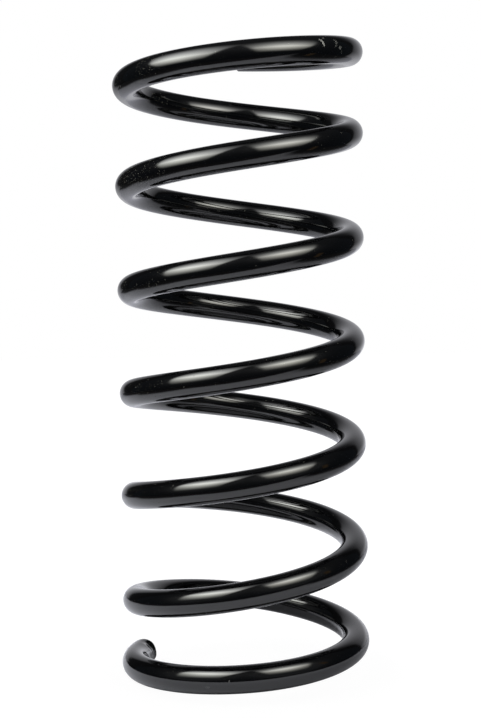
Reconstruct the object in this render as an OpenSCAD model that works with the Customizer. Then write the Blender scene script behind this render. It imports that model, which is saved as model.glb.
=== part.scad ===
// Suspension coil spring: one round steel bar wound into an open, cylindrical
// helix, with a flatter end coil at each end and both ends cut square.
//
// Frame: millimetres, +Z up along the axis of the coil, origin on that axis,
// level with the lowest point of the lower end coil. -Y is the front, where
// the bar of a right-hand spring rises from left to right.

/* [Bar] */
// Diameter of the round bar, with its coating
bar_d = 16; // [12:0.5:18]
// Width of the bevel round each cut end
end_bevel = 0.8; // [0.2:0.1:2]

/* [Coil] */
// Diameter of the coil, between the centres of the bar
mean_d = 130; // [110:1:160]
// Number of turns, from one cut end to the other
turns = 6.807; // [5.5:0.001:9]
// Rise of the working coils, per turn
coil_pitch = 61; // [52:0.5:75]
// Direction of the lower cut end seen from above, degrees from +X
start_angle = 159.5; // [0:0.5:359]
// Hand of the winding
hand = "right"; // [right, left]

/* [Lower end coil] */
// Rise of the lower end coil at its very tip, per turn
lower_tip_pitch = 10.5; // [0:0.5:40]
// Arc over which the tip comes to the pitch of its seat, degrees
lower_flat_arc = 60; // [30:5:120]
// Rise of the lower end coil where it lies in its seat, per turn
lower_seat_pitch = 25; // [14:0.5:40]
// Arc of the lower end coil that lies in its seat, degrees
lower_seat_arc = 182.5; // [90:0.5:220]
// How much larger in radius the lower end coil is wound
lower_coil_out = 0.8; // [0:0.1:2]
// Arc that keeps the larger radius, and arc by which it is gone, degrees
lower_coil_arc = [302.5, 902.5];
// Distance that the lower tip springs outwards
lower_tip_out = 1.7; // [0:0.1:4]
// Arc over which the lower tip springs outwards, degrees
lower_tip_arc = 112.5; // [60:0.5:240]

/* [Upper end coil] */
// Rise of the upper end coil at its tip, per turn
upper_tip_pitch = 12; // [6:0.5:40]
// How much larger in radius the upper end coil is wound
upper_coil_out = 0.5; // [0:0.1:2]
// Arc that keeps the larger radius, and arc by which it is gone, degrees
upper_coil_arc = [300, 520];

/* [Hidden] */

// Fineness of the sweep: sides of the bar's section and sections per turn
sides = 20;
sections = 42;

bar_r = bar_d / 2;
total_arc = 360 * turns;

// Winding programme, as [angle along the bar, rise per turn]. The lower tip
// lies flatter, then the bar keeps the pitch of its seat, lifts off sharply,
// is wound a little open for half a turn, and settles at the working pitch.
lower_run = [
    [0, lower_tip_pitch],
    [lower_flat_arc, lower_seat_pitch],
    [lower_seat_arc, lower_seat_pitch],
    [lower_seat_arc + 90, 0.95 * coil_pitch],
    [lower_seat_arc + 180, 0.86 * coil_pitch],
    [lower_seat_arc + 270, 1.12 * coil_pitch],
    [lower_seat_arc + 360, 1.05 * coil_pitch],
    [lower_seat_arc + 480, coil_pitch]
];

// The same from the upper tip, counted backwards: this end coil lies nearly
// flat at its tip and opens out gradually.
upper_run = [
    [0, upper_tip_pitch],
    [90, 0.38 * coil_pitch],
    [180, 0.63 * coil_pitch],
    [270, 0.76 * coil_pitch],
    [360, 0.91 * coil_pitch],
    [450, 1.11 * coil_pitch],
    [540, 0.96 * coil_pitch],
    [660, coil_pitch]
];

programme = concat(
    lower_run,
    [for (i = [len(upper_run) - 1:-1:0]) [total_arc - upper_run[i][0], upper_run[i][1]]]
);

function sum(v, i = 0, t = 0) = i == len(v) ? t : sum(v, i + 1, t + v[i]);

// Rise, in mm, over the stretch between two entries of the programme, as far
// as angle a. The pitch changes evenly along the stretch.
function stretch_rise(p, q, a) =
    let (w = max(0, min(a, q[0]) - p[0]),
         at_w = p[1] + (q[1] - p[1]) * w / (q[0] - p[0]))
    w * (p[1] + at_w) / 720;

// Height of the bar's centre above the lower tip's, at angle a along the bar
function height(a) = sum([
    for (i = [0:len(programme) - 2]) stretch_rise(programme[i], programme[i + 1], a)
]);

// Pitch at angle a along the bar
function pitch(a) = lookup(a, programme);

// Share, 1 to 0, of an end coil's larger radius at angle a from its tip
function end_share(a, arc) = max(0, min(1, (arc[1] - a) / (arc[1] - arc[0])));

// Radius of the bar's centre line at angle a along the bar
function coil_r(a) = mean_d / 2
    + lower_coil_out * end_share(a, lower_coil_arc)
    + upper_coil_out * end_share(total_arc - a, upper_coil_arc)
    + lower_tip_out * pow(max(0, 1 - a / lower_tip_arc), 2);

// One ring of points round the bar: section at angle a, of radius r, square to
// the bar's own direction
function ring(a, r) =
    let (t = start_angle + a,
         rr = coil_r(a),
         outward = [cos(t), sin(t), 0],
         along = [-sin(t) * rr, cos(t) * rr, pitch(a) / (2 * PI)],
         across = cross(outward, along / norm(along)),
         centre = [rr * cos(t), rr * sin(t), height(a)])
    [for (k = [0:sides - 1]) centre + r * (cos(360 * k / sides) * outward + sin(360 * k / sides) * across)];

// Angle along the bar taken up by the bevel
bevel_arc = end_bevel / mean_d * 360 / PI;
ring_count = round(sections * turns);

rings = concat(
    [ring(0, bar_r - end_bevel)],
    [for (i = [0:ring_count]) ring(bevel_arc + (total_arc - 2 * bevel_arc) * i / ring_count, bar_r)],
    [ring(total_arc, bar_r - end_bevel)]
);
last = len(rings) - 1;

points = [for (rg = rings) for (p = rg) p];
base_z = min([for (p = points) p[2]]);

// Skin of the bar between neighbouring rings, then the two cut ends
skin = [
    for (i = [0:last - 1]) for (k = [0:sides - 1])
        let (n = (k + 1) % sides, b = i * sides)
        each [[b + k, b + sides + k, b + n], [b + n, b + sides + k, b + sides + n]]
];
cut_ends = [
    [for (k = [0:sides - 1]) k],
    [for (k = [sides - 1:-1:0]) last * sides + k]
];

module coil_spring() {
    color([0.03, 0.03, 0.035])
        mirror([hand == "left" ? 1 : 0, 0, 0])
            translate([0, 0, -base_z])
                polyhedron(points = points, faces = concat(skin, cut_ends), convexity = 20);
}

coil_spring();
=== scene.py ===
import math

import bpy
import numpy as np
from mathutils import Matrix, Vector


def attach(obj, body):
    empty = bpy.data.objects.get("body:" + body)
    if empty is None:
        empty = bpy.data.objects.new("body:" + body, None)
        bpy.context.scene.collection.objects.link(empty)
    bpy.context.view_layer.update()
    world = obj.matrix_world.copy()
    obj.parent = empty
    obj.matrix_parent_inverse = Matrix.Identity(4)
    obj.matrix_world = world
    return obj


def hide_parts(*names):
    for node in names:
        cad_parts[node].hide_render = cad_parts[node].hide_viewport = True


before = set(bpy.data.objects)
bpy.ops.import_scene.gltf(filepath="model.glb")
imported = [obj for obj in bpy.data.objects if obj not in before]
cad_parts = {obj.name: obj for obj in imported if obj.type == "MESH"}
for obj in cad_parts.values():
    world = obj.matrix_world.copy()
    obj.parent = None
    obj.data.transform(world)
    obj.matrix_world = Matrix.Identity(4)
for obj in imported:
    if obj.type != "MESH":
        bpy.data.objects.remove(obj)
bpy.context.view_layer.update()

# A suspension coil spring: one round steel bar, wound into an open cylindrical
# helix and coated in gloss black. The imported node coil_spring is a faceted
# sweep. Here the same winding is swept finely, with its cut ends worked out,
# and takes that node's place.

MM = 0.001


# ---------------------------------------------------------------- node helpers
class Nodes:
    """Shorthand for building a node tree in code."""

    def __init__(self, tree):
        self.tree = tree
        tree.nodes.clear()

    def add(self, kind, **settings):
        node = self.tree.nodes.new(kind)
        for key, value in settings.items():
            setattr(node, key, value)
        return node

    def link(self, a, b):
        self.tree.links.new(a, b)

    def plug(self, socket, value):
        if isinstance(value, bpy.types.NodeSocket):
            self.link(value, socket)
        else:
            socket.default_value = value

    def math(self, operation, a, b=None, c=None, clamp=False):
        node = self.add("ShaderNodeMath", operation=operation, use_clamp=clamp)
        for socket, value in zip(node.inputs, (a, b, c)):
            if value is not None:
                self.plug(socket, value)
        return node.outputs[0]

    def soft_step(self, value, edge):
        """1 well above nought, 0 well below it, over a width of about edge."""
        grown = self.math("EXPONENT", self.math("DIVIDE", value, -edge))
        return self.math("DIVIDE", 1.0, self.math("ADD", grown, 1.0))

    def bell(self, value, width):
        """exp(-(value / width)^2 / 2)"""
        ratio = self.math("DIVIDE", value, width)
        return self.math("EXPONENT", self.math("MULTIPLY", self.math("MULTIPLY", ratio, ratio), -0.5))

    def ramp(self, value, low, high, to_low=0.0, to_high=1.0, smooth=True):
        node = self.add("ShaderNodeMapRange", interpolation_type="SMOOTHSTEP" if smooth else "LINEAR")
        self.plug(node.inputs["Value"], value)
        for key, number in (("From Min", low), ("From Max", high), ("To Min", to_low), ("To Max", to_high)):
            self.plug(node.inputs[key], number)
        return node.outputs["Result"]

    def noise(self, vector, scale, detail=2.0, roughness=0.5):
        node = self.add("ShaderNodeTexNoise", noise_dimensions="3D")
        self.plug(node.inputs["Vector"], vector)
        self.plug(node.inputs["Scale"], scale)
        self.plug(node.inputs["Detail"], detail)
        self.plug(node.inputs["Roughness"], roughness)
        return node.outputs["Fac"]

    def combine(self, x, y, z):
        node = self.add("ShaderNodeCombineXYZ")
        for socket, value in zip(node.inputs, (x, y, z)):
            self.plug(socket, value)
        return node.outputs[0]

    def mix_number(self, share, a, b):
        node = self.add("ShaderNodeMix", data_type="FLOAT")
        self.plug(node.inputs[0], share)
        self.plug(node.inputs[2], a)
        self.plug(node.inputs[3], b)
        return node.outputs[0]

    def mix_colour(self, share, a, b):
        node = self.add("ShaderNodeMix", data_type="RGBA")
        self.plug(node.inputs[0], share)
        self.plug(node.inputs[6], a)
        self.plug(node.inputs[7], b)
        return node.outputs[2]


# ----------------------------------------------------------------- the winding
# The same figures as the CAD model's, in millimetres and degrees.
BAR_R = 8.0
COIL_R = 65.0
TURNS = 6.807
PITCH = 61.0
START = 159.5
TIP_OUT, TIP_OUT_ARC = 1.7, 112.5
LOWER_OUT, LOWER_ARC = 0.8, (302.5, 902.5)
UPPER_OUT, UPPER_ARC = 0.5, (300.0, 520.0)
TOTAL = 360.0 * TURNS

LOWER_RUN = [(0, 10.5), (60, 25.0), (182.5, 25.0), (272.5, 0.95 * PITCH), (362.5, 0.86 * PITCH),
             (452.5, 1.12 * PITCH), (542.5, 1.05 * PITCH), (662.5, PITCH)]
UPPER_RUN = [(0, 12.0), (90, 0.38 * PITCH), (180, 0.63 * PITCH), (270, 0.76 * PITCH),
             (360, 0.91 * PITCH), (450, 1.11 * PITCH), (540, 0.96 * PITCH), (660, PITCH)]
RUN = np.array(LOWER_RUN + [(TOTAL - a, p) for a, p in reversed(UPPER_RUN)], float)
RISE = np.concatenate([[0.0], np.cumsum(np.diff(RUN[:, 0]) * (RUN[1:, 1] + RUN[:-1, 1]) / 720.0)])


def pitch_at(a):
    return np.interp(a, RUN[:, 0], RUN[:, 1])


def height_at(a):
    i = np.clip(np.searchsorted(RUN[:, 0], a, side="right") - 1, 0, len(RUN) - 2)
    return RISE[i] + (a - RUN[i, 0]) * (RUN[i, 1] + pitch_at(a)) / 720.0


def end_share(a, arc):
    """Share, 1 to 0, of an end coil's larger radius at angle a from its tip."""
    return np.clip((arc[1] - a) / (arc[1] - arc[0]), 0.0, 1.0)


def radius_at(a):
    return (COIL_R + LOWER_OUT * end_share(a, LOWER_ARC) + UPPER_OUT * end_share(TOTAL - a, UPPER_ARC)
            + TIP_OUT * np.maximum(0.0, 1.0 - a / TIP_OUT_ARC) ** 2)


def frame_at(a):
    """Centre of the bar, and the directions outward and across in its section, at angles a."""
    a = np.asarray(a, float)
    t = np.radians(START + a)
    r = radius_at(a)
    outward = np.stack([np.cos(t), np.sin(t), 0 * t], -1)
    along = np.stack([-np.sin(t) * r, np.cos(t) * r, pitch_at(a) / (2 * math.pi)], -1)
    along /= np.linalg.norm(along, axis=-1, keepdims=True)
    across = np.cross(outward, along)
    centre = np.stack([r * np.cos(t), r * np.sin(t), height_at(a)], -1)
    return centre, outward, across


FINE = np.linspace(0.0, TOTAL, 12001)
ARC = np.concatenate([[0.0], np.cumsum(np.linalg.norm(np.diff(frame_at(FINE)[0], axis=0), axis=1))])
LENGTH = ARC[-1]                                    # length of the bar


def angle_of(length):
    return np.interp(length, ARC, FINE)


def length_of(angle):
    return np.interp(angle, FINE, ARC)


# --------------------------------------------------------------------- the bar
SIDES = 56
RINGS = 1540
PSI = 2 * math.pi * np.arange(SIDES) / SIDES


def waver(length, psi):
    """Height of the coated skin over the true round, in mm. A bar and its baked coating are never
    quite even, and a gloss finish shows that as a slight wander of its reflections."""
    return (0.010 * np.sin(2 * math.pi * length / 71.0 + 1.3 + np.sin(psi))
            + 0.006 * np.sin(2 * math.pi * length / 37.3 + 2.0 * psi + 0.4)
            + 0.003 * np.sin(2 * math.pi * length / 23.9 - psi + 2.1))


def rim_size(turn, rolled):
    """Rounding of a cut end's rim: the shear rolls one side over and leaves the other crisp."""
    off = np.arctan2(np.sin(PSI - turn), np.cos(PSI - turn))
    return 0.95 + 0.45 * np.cos(off) + 0.10 * np.sin(3 * PSI + turn) + rolled * np.exp(-(off / 0.52) ** 2)


# Where the shear has drawn the skin down ahead of the lower cut and left it flaring out at the edge:
# angle round the section, spread, height at the edge, depth of the hollow, its distance, its far end.
FLARES = [(2.32, 0.42, 0.42, -0.85, 5.6, 13.0), (2.95, 0.33, 0.10, -0.55, 4.0, 10.0), (3.46, 0.30, 0.40, -0.06, 2.4, 5.0)]


def burr(length, psi):
    """Height of the skin over the round near the lower cut end, in mm."""
    total = 0.0 * length
    for middle, spread, edge, hollow, at, far in FLARES:
        near = hollow + (edge - hollow) * (1.0 - length / at)
        back = hollow * (0.5 + 0.5 * np.cos(math.pi * np.clip((length - at) / (far - at), 0.0, 1.0)))
        total = total + np.where(length < at, near, back) * np.exp(-((psi - middle) / spread) ** 2)
    return total


def end_rings(rim, turn):
    """Rings of a cut end from its middle outwards, as (depth behind the end plane, radius)."""
    rings = []
    face_r = BAR_R - rim
    for share in (0.06, 0.16, 0.27, 0.38, 0.49, 0.60, 0.70, 0.80, 0.90):
        rho = face_r * share
        y = rho * np.cos(PSI - turn) / BAR_R        # -1..1 across the shear's travel
        step = 1.0 / (1.0 + np.exp(-(y + 0.15 + 0.06 * np.sin(5 * PSI)) / 0.06))
        torn = 0.05 * np.sin(7.0 * y + 2.0 * np.sin(PSI + turn)) + 0.03 * np.sin(19.0 * y + 3 * PSI)
        depth = (0.10 + 0.22 * (1 - step) + torn * (1 - step)) * (1 - share ** 6) + 0.05 * (1 - share ** 2)
        rings.append((depth, rho))
    for phi in np.radians(np.linspace(0, 90, 9)):
        rings.append((rim * (1 - math.cos(phi)), BAR_R - rim * (1 - math.sin(phi))))
    return rings


def build_bar():
    low_rim, high_rim = rim_size(1.0, 2.1), rim_size(4.0, 0.0)
    low, high = end_rings(low_rim, 1.0), end_rings(high_rim, 4.0)
    rows = [(depth + 0 * PSI, rho + 0 * PSI, "low") for depth, rho in low]
    start, stop = low_rim, LENGTH - high_rim
    # Rings along the bar, closer together over the first 14 mm, where the flare is.
    shares = np.concatenate([np.linspace(0, 14 / LENGTH, 38)[1:-1], np.linspace(14 / LENGTH, 1, RINGS)[:-1]])
    for share in shares:
        rows.append((start + (stop - start) * share, BAR_R + 0 * PSI, "bar"))
    rows += [(LENGTH - depth + 0 * PSI, rho + 0 * PSI, "high") for depth, rho in reversed(high)]

    length = np.array([r[0] for r in rows])
    rho = np.array([r[1] for r in rows])
    kind = [r[2] for r in rows]
    psi = np.broadcast_to(PSI, length.shape)
    ease = np.clip(np.minimum(length, LENGTH - length) / 12.0, 0, 1)
    rho = rho + waver(length, psi) * ease * (rho > BAR_R - 0.001)
    raised = rho + burr(length, psi) * (rho / BAR_R) ** 3

    centre, outward, across = frame_at(angle_of(length))
    points = centre + raised[..., None] * (np.cos(psi)[..., None] * outward + np.sin(psi)[..., None] * across)
    middles = []
    for end_length, ring in ((length[0].mean(), 0), (length[-1].mean(), -1)):
        middles.append(frame_at(angle_of(np.array([end_length])))[0][0])
    lift = -points[..., 2].min()

    n = len(rows)
    verts = np.concatenate([points.reshape(-1, 3), np.array(middles)])
    verts[:, 2] += lift
    i, k = np.meshgrid(np.arange(n - 1), np.arange(SIDES), indexing="ij")
    i, k = i.ravel(), k.ravel()
    nk = (k + 1) % SIDES
    quads = np.stack([i * SIDES + k, i * SIDES + nk, (i + 1) * SIDES + nk, (i + 1) * SIDES + k], 1)
    fan_low = [[n * SIDES, (j + 1) % SIDES, j] for j in range(SIDES)]
    top = (n - 1) * SIDES
    fan_high = [[n * SIDES + 1, top + j, top + (j + 1) % SIDES] for j in range(SIDES)]

    # Map 1, "bar": length along the bar and girth round it, in metres. On the cut ends the first
    # runs on past the bar's own length, by the distance in from the rim.
    s = length * MM
    inner = (BAR_R - rho) * MM
    for row, name in enumerate(kind):
        if name == "low":
            s[row] = np.where(length[row] < low_rim - 1e-9, -inner[row], s[row])
        if name == "high":
            s[row] = np.where(LENGTH - length[row] < high_rim - 1e-9, LENGTH * MM + inner[row], s[row])
    girth = 2 * math.pi * BAR_R * MM

    # Map 2, "OFBake": the skin unrolled and cut into eight strips, with the two cut ends as discs above.
    strips, band = 8, 0.115
    per = -(-(n - 1) // strips)

    quad_s = np.stack([s[i, k], s[i, nk], s[i + 1, nk], s[i + 1, k]], 1)
    v0, v1 = k / SIDES, (k + 1) / SIDES
    quad_g = np.stack([v0, v1, v1, v0], 1) * girth
    row = i // per
    u0, u1 = (i - row * per) / per, (i + 1 - row * per) / per
    flat_u = 0.004 + 0.992 * np.stack([u0, u0, u1, u1], 1)
    flat_v = row[:, None] * band + 0.003 + (band - 0.006) * np.stack([v0, v1, v1, v0], 1)
    disc = {"low": (0.04, 0.955), "high": (0.12, 0.955)}
    spread = 0.034 / BAR_R
    for where, rows_in, rim in (("low", range(len(low) - 1), low_rim), ("high", range(n - len(high), n - 1), high_rim)):
        cx, cy = disc[where]
        for r in rows_in:
            q = slice(r * SIDES, (r + 1) * SIDES)
            kk, nn = k[q], nk[q]
            for c, (rr, cc) in enumerate(((r, kk), (r, nn), (r + 1, nn), (r + 1, kk))):
                flat_u[q, c] = cx + spread * rho[rr, cc] * np.cos(PSI[cc])
                flat_v[q, c] = cy + spread * rho[rr, cc] * np.sin(PSI[cc])

    fan_s, fan_g, fan_u, fan_v = [], [], [], []
    for where, fans, at in (("low", fan_low, 0), ("high", fan_high, n - 1)):
        cx, cy = disc[where]
        mid_s = -BAR_R * MM if where == "low" else (LENGTH + BAR_R) * MM
        for f in fans:
            a, b = f[1] % SIDES, f[2] % SIDES
            fan_s.append([mid_s, s[at, a], s[at, b]])
            ga, gb = a / SIDES, b / SIDES
            if abs(ga - gb) > 0.5:
                ga, gb = (1.0, gb) if ga < gb else (ga, 1.0)
            fan_g.append([(ga + gb) / 2 * girth, ga * girth, gb * girth])
            fan_u.append([cx] + [cx + spread * rho[at, c] * math.cos(PSI[c]) for c in (a, b)])
            fan_v.append([cy] + [cy + spread * rho[at, c] * math.sin(PSI[c]) for c in (a, b)])

    me = bpy.data.meshes.new("coil_spring_bar")
    me.from_pydata(verts * MM, [], quads.tolist() + fan_low + fan_high)
    # The loops follow the faces' own order.
    for name, qa, qb, fa, fb in (("bar", quad_s, quad_g, fan_s, fan_g), ("OFBake", flat_u, flat_v, fan_u, fan_v)):
        layer = me.uv_layers.new(name=name, do_init=False)
        u = np.concatenate([qa.ravel(), np.array(fa).ravel()])
        v = np.concatenate([qb.ravel(), np.array(fb).ravel()])
        layer.uv.foreach_set("vector", np.stack([u, v], 1).astype(np.float32).ravel())
    me.polygons.foreach_set("use_smooth", np.ones(len(me.polygons), bool))
    me.update()
    me.validate()
    # Faces turned to look outwards, if the sweep came out the other way round.
    co = verts * MM
    tri = quads[:, :3]
    volume = np.einsum("ij,ij->i", co[tri[:, 0]], np.cross(co[tri[:, 1]], co[tri[:, 2]])).sum()
    if volume < 0:
        me.flip_normals()
    ob = bpy.data.objects.new("spring_bar", me)
    bpy.context.scene.collection.objects.link(ob)
    return ob


# -------------------------------------------------------------------- coating
# Marks in the coating, as (angle along the bar, angle round its section,
# length, width, slant, strength): chips and rubs from handling, in degrees and mm.
MARKS = [
    (2311.5, 24.0, 4.4, 1.2, 98.0, 0.56),
    (2310.8, 36.0, 1.6, 1.7, 20.0, 0.40),
    (2313.4, 47.0, 1.6, 1.0, 40.0, 0.22),
    (2319.8, 36.0, 1.6, 1.2, 60.0, 0.20),
    (2320.4, 24.0, 2.6, 1.7, 60.0, 0.24),
    (2322.3, 3.0, 2.3, 1.9, 20.0, 0.27),
    (2319.4, 10.0, 1.6, 0.9, 30.0, 0.22),
    (2323.4, -14.0, 2.2, 1.3, 70.0, 0.06),
    (102.7, 9.0, 1.5, 0.6, 80.0, 0.40),
    (92.7, -14.0, 2.2, 1.2, 10.0, 0.12),
]
# Scuffs that only dull the gloss.
SCUFFS = [
    (200.0, 107.0, 3.0, 0.35, 75.0, 0.5),
    (204.5, 77.0, 2.4, 0.30, 60.0, 0.4),
    (212.0, 105.0, 3.4, 0.35, 80.0, 0.5),
]


def coating_material():
    mat = bpy.data.materials.new("gloss_black_coating")
    mat.use_nodes = True
    nt = Nodes(mat.node_tree)
    out = nt.add("ShaderNodeOutputMaterial")
    bsdf = nt.add("ShaderNodeBsdfPrincipled")
    nt.link(bsdf.outputs[0], out.inputs["Surface"])
    bsdf.inputs["IOR"].default_value = 1.5
    bsdf.inputs["Metallic"].default_value = 0.0
    bsdf.inputs["Specular IOR Level"].default_value = 0.5

    uv = nt.add("ShaderNodeUVMap", uv_map="bar")
    parts = nt.add("ShaderNodeSeparateXYZ")
    nt.link(uv.outputs[0], parts.inputs[0])
    s_mm = nt.math("MULTIPLY", parts.outputs[0], 1000.0)
    psi = nt.math("DIVIDE", parts.outputs[1], BAR_R * MM)
    # The bar's own space, as if it were pulled straight: length, and two ways across it, in mm.
    straight = nt.combine(s_mm, nt.math("MULTIPLY", nt.math("COSINE", psi), BAR_R),
                          nt.math("MULTIPLY", nt.math("SINE", psi), BAR_R))
    place = nt.add("ShaderNodeTexCoord").outputs["Object"]

    # Cut ends: the coating lies over sheared steel.
    on_end = nt.math("MAXIMUM", nt.ramp(s_mm, -0.55, -0.25, 1.0, 0.0),
                     nt.ramp(s_mm, LENGTH + 0.25, LENGTH + 0.55, 0.0, 1.0))

    # Orange peel: the faint unevenness of a baked coating, finest at about 2 mm.
    peel = nt.noise(place, 330.0, 1.5, 0.45)
    swell = nt.noise(place, 95.0, 1.0, 0.4)
    grain = nt.noise(place, 900.0, 3.0, 0.6)

    # Dust under the coating: a few tiny bumps.
    cell = nt.add("ShaderNodeTexVoronoi", voronoi_dimensions="3D", feature="F1")
    nt.plug(cell.inputs["Vector"], place)
    cell.inputs["Scale"].default_value = 150.0
    cell.inputs["Randomness"].default_value = 1.0
    pick = nt.add("ShaderNodeSeparateColor")
    nt.link(cell.outputs["Color"], pick.inputs[0])
    chosen = nt.ramp(pick.outputs[0], 0.93, 0.94)
    size = nt.math("MULTIPLY_ADD", pick.outputs[1], 0.045, 0.030)
    nib = nt.math("MULTIPLY", chosen, nt.ramp(nt.math("DIVIDE", cell.outputs["Distance"], size), 0.2, 1.0, 1.0, 0.0))

    # Marks and scuffs
    fray = nt.noise(straight, 1.9, 3.0, 0.70)

    def blots(listed, frayed):
        found = None
        for angle, round_, long_, wide, slant, strength in listed:
            ds = nt.math("SUBTRACT", s_mm, float(length_of(angle)))
            # girth distance, the short way round
            turn = nt.math("SUBTRACT", psi, math.radians(round_))
            turn = nt.math("MULTIPLY", nt.math("ARCTAN2", nt.math("SINE", turn), nt.math("COSINE", turn)), BAR_R)
            c, sn = math.cos(math.radians(slant)), math.sin(math.radians(slant))
            x = nt.math("ADD", nt.math("MULTIPLY", ds, c), nt.math("MULTIPLY", turn, sn))
            y = nt.math("SUBTRACT", nt.math("MULTIPLY", turn, c), nt.math("MULTIPLY", ds, sn))
            x = nt.math("DIVIDE", x, long_ / 2)
            y = nt.math("DIVIDE", y, wide / 2)
            d = nt.math("SQRT", nt.math("ADD", nt.math("MULTIPLY", x, x), nt.math("MULTIPLY", y, y)))
            d = nt.math("ADD", d, nt.math("MULTIPLY", nt.math("SUBTRACT", fray, 0.5), frayed))
            m = nt.math("MULTIPLY", nt.ramp(d, 0.75, 1.15, 1.0, 0.0), strength)
            found = m if found is None else nt.math("MAXIMUM", found, m)
        return found

    marked, scuffed = blots(MARKS, 2.6), blots(SCUFFS, 0.6)

    # Settled dust: fine pale specks, thickest over the bends on the left.
    speck = nt.add("ShaderNodeTexVoronoi", voronoi_dimensions="3D", feature="F1")
    nt.plug(speck.inputs["Vector"], place)
    speck.inputs["Scale"].default_value = 950.0
    speck.inputs["Randomness"].default_value = 1.0
    which = nt.add("ShaderNodeSeparateColor")
    nt.link(speck.outputs["Color"], which.inputs[0])
    where = nt.add("ShaderNodeSeparateXYZ")
    nt.link(place, where.inputs[0])
    sides = nt.ramp(where.outputs[0], -0.064, -0.036, 1.0, 0.03)
    cloud = nt.ramp(nt.noise(place, 42.0, 2.0, 0.5), 0.42, 0.60)
    share = nt.math("MULTIPLY", nt.math("MULTIPLY", sides, cloud), 0.90)
    dust = nt.math("GREATER_THAN", share, which.outputs[0])
    dust = nt.math("MULTIPLY", dust, nt.ramp(speck.outputs["Distance"], 0.22, 0.45, 1.0, 0.0))
    dust = nt.math("MULTIPLY", dust, which.outputs[2])

    # Colour: near black; rubbed through to a grey primer in the marks.
    tone = nt.noise(straight, 0.06, 2.0, 0.5)
    black = nt.mix_colour(tone, (0.00040, 0.00045, 0.00060, 1), (0.00070, 0.00070, 0.00085, 1))
    ends = nt.mix_colour(on_end, black, (0.0030, 0.0030, 0.0032, 1))
    dusty = nt.mix_colour(dust, ends, (0.043, 0.042, 0.037, 1))
    colour = nt.mix_colour(marked, dusty, (0.17, 0.17, 0.165, 1))
    nt.link(colour, bsdf.inputs["Base Color"])

    # Roughness: high gloss, a little uneven; satin on the cut ends and dull in the marks.
    haze = nt.noise(straight, 0.11, 3.0, 0.6)
    rough = nt.ramp(haze, 0.3, 0.7, 0.065, 0.105)
    rough = nt.mix_number(on_end, rough, nt.ramp(grain, 0.35, 0.65, 0.24, 0.42))
    rough = nt.mix_number(nt.math("MAXIMUM", marked, scuffed), rough, 0.55)
    nt.link(rough, bsdf.inputs["Roughness"])

    # Relief, in metres.
    height = nt.math("MULTIPLY", peel, 0.0000022)
    height = nt.math("ADD", height, nt.math("MULTIPLY", swell, 0.0000060))
    height = nt.math("ADD", height, nt.math("MULTIPLY", nib, 0.000022))
    height = nt.math("ADD", height, nt.math("MULTIPLY", nt.math("MULTIPLY", grain, on_end), 0.000012))
    height = nt.math("SUBTRACT", height, nt.math("MULTIPLY", marked, 0.00004))
    bump = nt.add("ShaderNodeBump")
    bump.inputs["Strength"].default_value = 1.0
    bump.inputs["Distance"].default_value = 1.0
    nt.link(height, bump.inputs["Height"])
    nt.link(bump.outputs[0], bsdf.inputs["Normal"])
    return mat


bar = build_bar()
bar.data.materials.append(coating_material())
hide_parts("coil_spring")
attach(bar, "root")


# ---------------------------------------------------------------------- stage
def plane(name, corners, mat):
    me = bpy.data.meshes.new(name)
    me.from_pydata([Vector(c) for c in corners], [], [list(range(len(corners)))])
    me.materials.append(mat)
    ob = bpy.data.objects.new(name, me)
    bpy.context.scene.collection.objects.link(ob)
    return ob


def floor_material():
    """What the camera sees: a white sweep, with a faint shadow where the spring meets it."""
    mat = bpy.data.materials.new("pale_floor")
    mat.use_nodes = True
    nt = Nodes(mat.node_tree)
    out = nt.add("ShaderNodeOutputMaterial")
    place = nt.add("ShaderNodeVectorMath", operation="LENGTH")
    nt.link(nt.add("ShaderNodeTexCoord").outputs["Object"], place.inputs[0])
    lit = nt.add("ShaderNodeBsdfDiffuse")
    lit.inputs["Color"].default_value = (0.10, 0.10, 0.10, 1)
    glow = nt.add("ShaderNodeEmission")
    # Painted light: the floor's glow is a little weaker round the spring's foot, so only there does its real shadow
    # show, faintly; farther out the glow washes shadows away.
    nt.link(nt.ramp(place.outputs["Value"], 0.07, 0.18, 0.97, 1.04), glow.inputs["Strength"])
    both = nt.add("ShaderNodeAddShader")
    nt.link(lit.outputs[0], both.inputs[0])
    nt.link(glow.outputs[0], both.inputs[1])
    nt.link(both.outputs[0], out.inputs["Surface"])
    return mat


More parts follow.
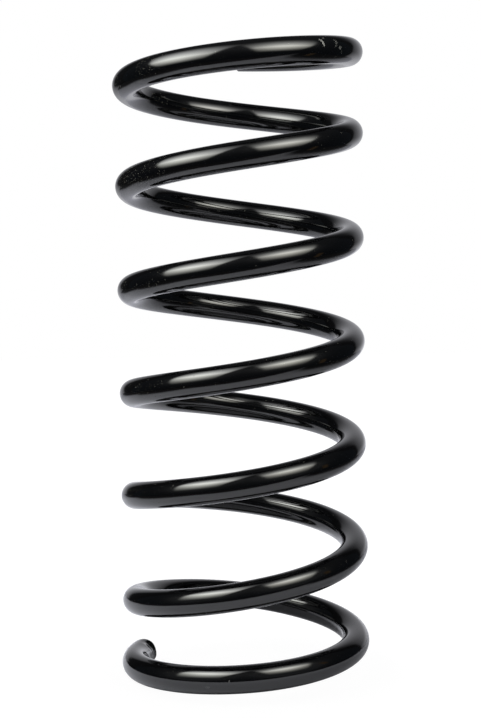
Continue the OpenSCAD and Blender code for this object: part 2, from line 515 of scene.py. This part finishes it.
def table_material():
    """What the gloss mirrors: a pale table under the lamps, ending in front and at both sides, with a painted shadow of
    the spring and painted pools of light on it.
    """
    mat = bpy.data.materials.new("pale_table")
    mat.use_nodes = True
    nt = Nodes(mat.node_tree)
    out = nt.add("ShaderNodeOutputMaterial")
    parts = nt.add("ShaderNodeSeparateXYZ")
    nt.link(nt.add("ShaderNodeTexCoord").outputs["Object"], parts.inputs[0])
    x = nt.math("MULTIPLY", parts.outputs[0], 1000.0)
    y = nt.math("MULTIPLY", parts.outputs[1], 1000.0)

    def past(value, start):
        return nt.math("MAXIMUM", nt.math("SUBTRACT", value, start), 0.0)

    # Its sides, as x against y, and its front edge.
    left = nt.math("MULTIPLY_ADD", nt.math("MINIMUM", y, 100.0), -0.40, -330.0)
    left = nt.math("SUBTRACT", left, nt.ramp(y, 85.0, 180.0, 0.0, 82.0))
    left = nt.math("SUBTRACT", left, nt.math("MULTIPLY", past(y, 450.0), 0.35))
    ahead, behind = past(nt.math("MULTIPLY", y, -1.0), 150.0), past(y, -150.0)
    right = nt.math("MULTIPLY_ADD", nt.math("MULTIPLY", behind, behind), 0.00058, 314.0)
    right = nt.math("MINIMUM", nt.math("MULTIPLY_ADD", nt.math("MULTIPLY", ahead, ahead), 0.0053, right), 900.0)
    front = nt.math("MULTIPLY_ADD", x, -0.25, -312.0)
    outline_and_painted_shade = nt.math("MULTIPLY", nt.soft_step(nt.math("SUBTRACT", x, left), 22.0),
                   nt.soft_step(nt.math("SUBTRACT", right, x), 30.0))
    outline_and_painted_shade = nt.math("MULTIPLY", outline_and_painted_shade, nt.soft_step(nt.math("SUBTRACT", y, front), 10.0))
    # Dimmer in its front right corner; darker round where the spring stands and to its right, a painted shadow of the
    # spring.
    corner = nt.math("MULTIPLY", nt.soft_step(nt.math("SUBTRACT", x, 455.0), 12.0), nt.soft_step(y, -30.0))
    outline_and_painted_shade = nt.math("MULTIPLY", outline_and_painted_shade, nt.math("MULTIPLY_ADD", corner, -0.30, 1.0))
    reach = nt.add("ShaderNodeVectorMath", operation="LENGTH")
    nt.link(nt.combine(nt.math("SUBTRACT", x, 50.0), nt.math("SUBTRACT", y, 20.0), 0.0), reach.inputs[0])
    outline_and_painted_shade = nt.math("MULTIPLY", outline_and_painted_shade, nt.ramp(reach.outputs["Value"], 40.0, 170.0, 0.54, 1.0))
    # Painted shadow of the spring, to its right.
    painted_shadow_beside = nt.math("MULTIPLY", nt.bell(nt.math("SUBTRACT", x, 222.0), 45.0), nt.bell(nt.math("SUBTRACT", y, 45.0), 55.0))
    outline_and_painted_shade = nt.math("MULTIPLY", outline_and_painted_shade, nt.math("MULTIPLY_ADD", painted_shadow_beside, -0.22, 1.0))
    # A painted contact shadow, close under the lowest coil.
    round_axis = nt.add("ShaderNodeVectorMath", operation="LENGTH")
    nt.link(nt.combine(x, y, 0.0), round_axis.inputs[0])
    under = nt.bell(nt.math("SUBTRACT", round_axis.outputs["Value"], 62.0), 9.0)
    outline_and_painted_shade = nt.math("MULTIPLY", outline_and_painted_shade, nt.math("MULTIPLY_ADD", under, -0.40, 1.0))
    lit = nt.add("ShaderNodeBsdfDiffuse")
    nt.link(nt.mix_colour(outline_and_painted_shade, (0.02, 0.02, 0.02, 1), (0.722, 0.729, 0.825, 1)), lit.inputs["Color"])
    # The table glows as well as being lit: painted light, faint all over and more towards the back, with pools of light
    # at its left front, left back and just behind the spring.
    glow = nt.add("ShaderNodeEmission")
    glow.inputs["Color"].default_value = (1.00, 1.00, 1.06, 1)
    painted_light_spill = nt.math("MULTIPLY", nt.bell(nt.math("ADD", x, 300.0), 110.0), nt.bell(nt.math("SUBTRACT", y, 330.0), 130.0))
    painted_light_spill = nt.math("MULTIPLY_ADD", painted_light_spill, 0.16, nt.ramp(y, 100.0, 700.0, 0.02, 0.20))
    painted_light_left_front = nt.math("MULTIPLY", nt.bell(nt.math("ADD", x, 240.0), 60.0), nt.bell(nt.math("ADD", y, 150.0), 90.0))
    painted_light_spill = nt.math("MULTIPLY_ADD", painted_light_left_front, 0.28, painted_light_spill)
    painted_light_behind_spring = nt.math("MULTIPLY", nt.bell(x, 65.0), nt.bell(nt.math("SUBTRACT", y, 145.0), 48.0))
    painted_light_spill = nt.math("MULTIPLY_ADD", painted_light_behind_spring, 0.42, painted_light_spill)
    nt.link(nt.math("MULTIPLY_ADD", outline_and_painted_shade, painted_light_spill, 0.04), glow.inputs["Strength"])
    both = nt.add("ShaderNodeAddShader")
    nt.link(lit.outputs[0], both.inputs[0])
    nt.link(glow.outputs[0], both.inputs[1])
    nt.link(both.outputs[0], out.inputs["Surface"])
    return mat


def backdrop_material(soft, mid, spread, top, fade, strength):
    """A pale backdrop that glows, its glow painted light: it ends at both sides, is brightest in its middle, and fades
    towards its top.
    """
    mat = bpy.data.materials.new("pale_backdrop")
    mat.use_nodes = True
    nt = Nodes(mat.node_tree)
    out = nt.add("ShaderNodeOutputMaterial")
    parts = nt.add("ShaderNodeSeparateXYZ")
    nt.link(nt.add("ShaderNodeTexCoord").outputs["Object"], parts.inputs[0])
    x, z = parts.outputs[0], parts.outputs[2]
    x0 = nt.ramp(z, 0.0, 0.36, -0.86, -0.61)
    x1 = nt.ramp(z, 0.45, 1.15, 1.36, 0.98)
    level = nt.math("MULTIPLY", nt.soft_step(nt.math("SUBTRACT", x, x0), soft), nt.soft_step(nt.math("SUBTRACT", x1, x), soft))
    level = nt.math("MULTIPLY", level, nt.bell(nt.math("SUBTRACT", x, mid), spread))
    level = nt.math("MULTIPLY", level, nt.soft_step(nt.math("SUBTRACT", top, z), fade))
    level = nt.math("MULTIPLY", level, nt.ramp(z, 0.0, 0.35, 1.40, 0.80))
    glow = nt.add("ShaderNodeEmission")
    glow.inputs["Color"].default_value = (0.985, 0.99, 1.05, 1)
    nt.link(nt.math("MULTIPLY_ADD", level, strength, 0.025), glow.inputs["Strength"])
    nt.link(glow.outputs[0], out.inputs["Surface"])
    return mat


floor = plane("floor", [(-2.5, -2.5, -0.0004), (2.5, -2.5, -0.0004), (2.5, 2.5, -0.0004), (-2.5, 2.5, -0.0004)],
              floor_material())
table = plane("table", [(-0.80, -0.60, -0.0002), (0.80, -0.60, -0.0002), (0.80, 1.068, -0.0002), (-0.80, 1.068, -0.0002)],
              table_material())
backdrop = plane("backdrop", [(-1.60, 1.068, -0.30), (1.60, 1.068, -0.30), (1.60, 1.068, 1.80), (-1.60, 1.068, 1.80)],
                 backdrop_material(0.030, 0.30, 0.72, 0.90, 0.13, 0.76))
for ob in (table, backdrop):
    ob.visible_camera = False
    ob.visible_shadow = False
floor.visible_glossy = floor.visible_diffuse = floor.visible_shadow = False


def strip_material():
    """A small brown card at the right of the table, glowing as painted light rather than lit, which the gloss shows as
    a dull streak.
    """
    mat = bpy.data.materials.new("brown_card")
    mat.use_nodes = True
    nt = Nodes(mat.node_tree)
    out = nt.add("ShaderNodeOutputMaterial")
    glow = nt.add("ShaderNodeEmission")
    glow.inputs["Color"].default_value = (0.32, 0.21, 0.11, 1)
    glow.inputs["Strength"].default_value = 1.0
    nt.link(glow.outputs[0], out.inputs["Surface"])
    return mat


card = plane("card", [(0.3195, -0.131, 0.150), (0.3305, -0.097, 0.150), (0.3305, -0.097, 0.245), (0.3195, -0.131, 0.245)],
             strip_material())
card.visible_camera = card.visible_shadow = card.visible_diffuse = False


def soft_box(name, centre, yaw, pitch, roll, half_w, edge, spread, a0, b0, upper, lower, peak, low_tint, high_tint):
    """A large diffused studio lamp: brightest in its middle, fading along it. Millimetres and degrees."""
    y, p, r = (math.radians(x) for x in (yaw, pitch, roll))
    n = Vector((math.sin(y) * math.cos(p), math.cos(y) * math.cos(p), math.sin(p)))
    right = Vector((math.cos(y), -math.sin(y), 0))
    up = right.cross(n)
    r2 = right * math.cos(r) + up * math.sin(r)
    u2 = up * math.cos(r) - right * math.sin(r)
    full_w, full_h = 2 * (half_w + 3 * edge), 2 * max(upper[0] + b0, lower[0] - b0)
    light = bpy.data.lights.new(name, "AREA")
    light.shape = "RECTANGLE"
    light.size, light.size_y = full_w * MM, full_h * MM
    light.energy = math.pi * light.size * light.size_y
    light.color = (1, 1, 1)
    light.use_nodes = True
    nt = Nodes(light.node_tree)
    out = nt.add("ShaderNodeOutputLight")
    glow = nt.add("ShaderNodeEmission")
    nt.link(glow.outputs[0], out.inputs[0])
    parts = nt.add("ShaderNodeSeparateXYZ")
    nt.link(nt.add("ShaderNodeNewGeometry").outputs["Parametric"], parts.inputs[0])
    a = nt.math("MULTIPLY", nt.math("SUBTRACT", parts.outputs[0], 0.5), full_w)
    b = nt.math("MULTIPLY", nt.math("SUBTRACT", parts.outputs[1], 0.5), full_h)
    sides = nt.soft_step(nt.math("SUBTRACT", half_w, nt.math("ABSOLUTE", a)), edge)
    across = nt.bell(nt.math("SUBTRACT", a, a0), spread)
    # Along the lamp, the light dies away at a different rate above and below its brightest line.
    halves = []
    for sign, (reach, fall) in ((1.0, upper), (-1.0, lower)):
        away = nt.math("MAXIMUM", nt.math("MULTIPLY", nt.math("SUBTRACT", b, b0), sign), 0.0)
        left_over = nt.math("MAXIMUM", nt.math("SUBTRACT", 1.0, nt.math("DIVIDE", away, reach)), 0.0)
        halves.append(nt.math("POWER", left_over, fall))
    along = nt.math("MULTIPLY", halves[0], halves[1])
    total = nt.math("MULTIPLY", nt.math("MULTIPLY", sides, across), nt.math("MULTIPLY", along, peak))
    nt.link(total, glow.inputs["Strength"])
    nt.link(nt.mix_colour(nt.ramp(b, -150.0, 330.0), low_tint, high_tint), glow.inputs["Color"])
    ob = bpy.data.objects.new(name, light)
    m = Matrix((r2, u2, -n)).transposed().to_4x4()
    m.translation = Vector(centre) * MM
    ob.matrix_world = m
    bpy.context.scene.collection.objects.link(ob)
    return ob


soft_box("soft_box_left", (-329.2, -241.5, 515.3), 51.6, -44.6, 10.0, 231.0, 9.0, 168.0, -1.0, 43.0,
         (415.0, 2.12), (410.0, 1.85), 17.7, (0.985, 1.0, 0.915, 1), (0.990, 1.0, 0.990, 1))
soft_box("soft_box_right", (301.7, -350.8, 546.3), -37.4, -48.9, -8.0, 231.0, 9.0, 157.0, -14.0, 73.0,
         (455.0, 2.88), (437.0, 2.01), 14.1, (1.010, 1.0, 0.890, 1), (0.995, 1.0, 0.960, 1))

# A dark studio round a white sweep: the sweep shows behind the object, the dark room in its reflections.
world = bpy.data.worlds.new("studio")
bpy.context.scene.world = world
world.use_nodes = True
nt = Nodes(world.node_tree)
out = nt.add("ShaderNodeOutputWorld")
white = nt.add("ShaderNodeBackground")
white.inputs["Color"].default_value = (1, 1, 1, 1)
dark = nt.add("ShaderNodeBackground")
parts = nt.add("ShaderNodeSeparateXYZ")
nt.link(nt.add("ShaderNodeTexCoord").outputs["Generated"], parts.inputs[0])
room = nt.mix_colour(nt.ramp(parts.outputs[2], 0.45, 1.0), (0.024, 0.030, 0.038, 1), (0.048, 0.050, 0.053, 1))
# Scattered light round each lamp, as 0.11 exp(-t / 6) + 0.04 exp(-t / 28), t degrees past 30 from its middle.
for toward in ((-0.630, -0.462, 0.624), (0.516, -0.600, 0.610)):
    dot = nt.add("ShaderNodeVectorMath", operation="DOT_PRODUCT")
    nt.link(nt.add("ShaderNodeTexCoord").outputs["Generated"], dot.inputs[0])
    dot.inputs[1].default_value = toward
    away = nt.math("SUBTRACT", nt.math("ARCCOSINE", nt.math("MINIMUM", dot.outputs["Value"], 0.99999)), math.radians(30.0))
    away = nt.math("MAXIMUM", away, 0.0)
    near = nt.math("EXPONENT", nt.math("DIVIDE", away, -math.radians(6.0)))
    wide = nt.math("EXPONENT", nt.math("DIVIDE", away, -math.radians(28.0)))
    haze = nt.math("MULTIPLY_ADD", near, 0.11, nt.math("MULTIPLY", wide, 0.04))
    more = nt.add("ShaderNodeMix", data_type="RGBA", blend_type="ADD")
    more.inputs[0].default_value = 1.0
    nt.link(room, more.inputs[6])
    nt.link(nt.combine(haze, haze, haze), more.inputs[7])
    room = more.outputs[2]
nt.plug(dark.inputs["Color"], room)
mix = nt.add("ShaderNodeMixShader")
nt.link(nt.add("ShaderNodeLightPath").outputs["Is Camera Ray"], mix.inputs[0])
nt.link(dark.outputs[0], mix.inputs[1])
nt.link(white.outputs[0], mix.inputs[2])
nt.link(mix.outputs[0], out.inputs[0])

# --------------------------------------------------------------------- camera
# Fitted to the outline of all seven coils: 0.96 m from the axis, a little above
# the middle, looking down 4.5 degrees.
FOCAL_PX, DISTANCE, SIDE, ROLL, DIP, AIM = 1612.2, 959.6, 0.901, math.radians(0.941), math.radians(4.490), 189.43
c_right = Vector((math.cos(ROLL), 0, -math.sin(ROLL)))
c_down = Vector((-math.sin(ROLL) * math.cos(DIP), -math.sin(DIP), -math.cos(ROLL) * math.cos(DIP)))
c_fwd = Vector((-math.sin(ROLL) * math.sin(DIP), math.cos(DIP), -math.cos(ROLL) * math.sin(DIP)))
eye = Vector((0, 0, AIM)) - c_right * SIDE - c_fwd * DISTANCE
cam_data = bpy.data.cameras.new("camera")
cam_data.sensor_fit = "AUTO"
cam_data.sensor_width = 36.0
cam_data.lens = FOCAL_PX / 720.0 * 36.0
cam_data.clip_start, cam_data.clip_end = 0.05, 20.0
cam = bpy.data.objects.new("camera", cam_data)
m = Matrix((c_right, -c_down, -c_fwd)).transposed().to_4x4()
m.translation = eye * MM
cam.matrix_world = m
bpy.context.scene.collection.objects.link(cam)
bpy.context.scene.camera = cam

bpy.context.scene.view_settings.view_transform = "Standard"
bpy.context.scene.view_settings.look = "None"
bpy.context.scene.view_settings.exposure = 0.0
bpy.context.scene.view_settings.gamma = 1.0
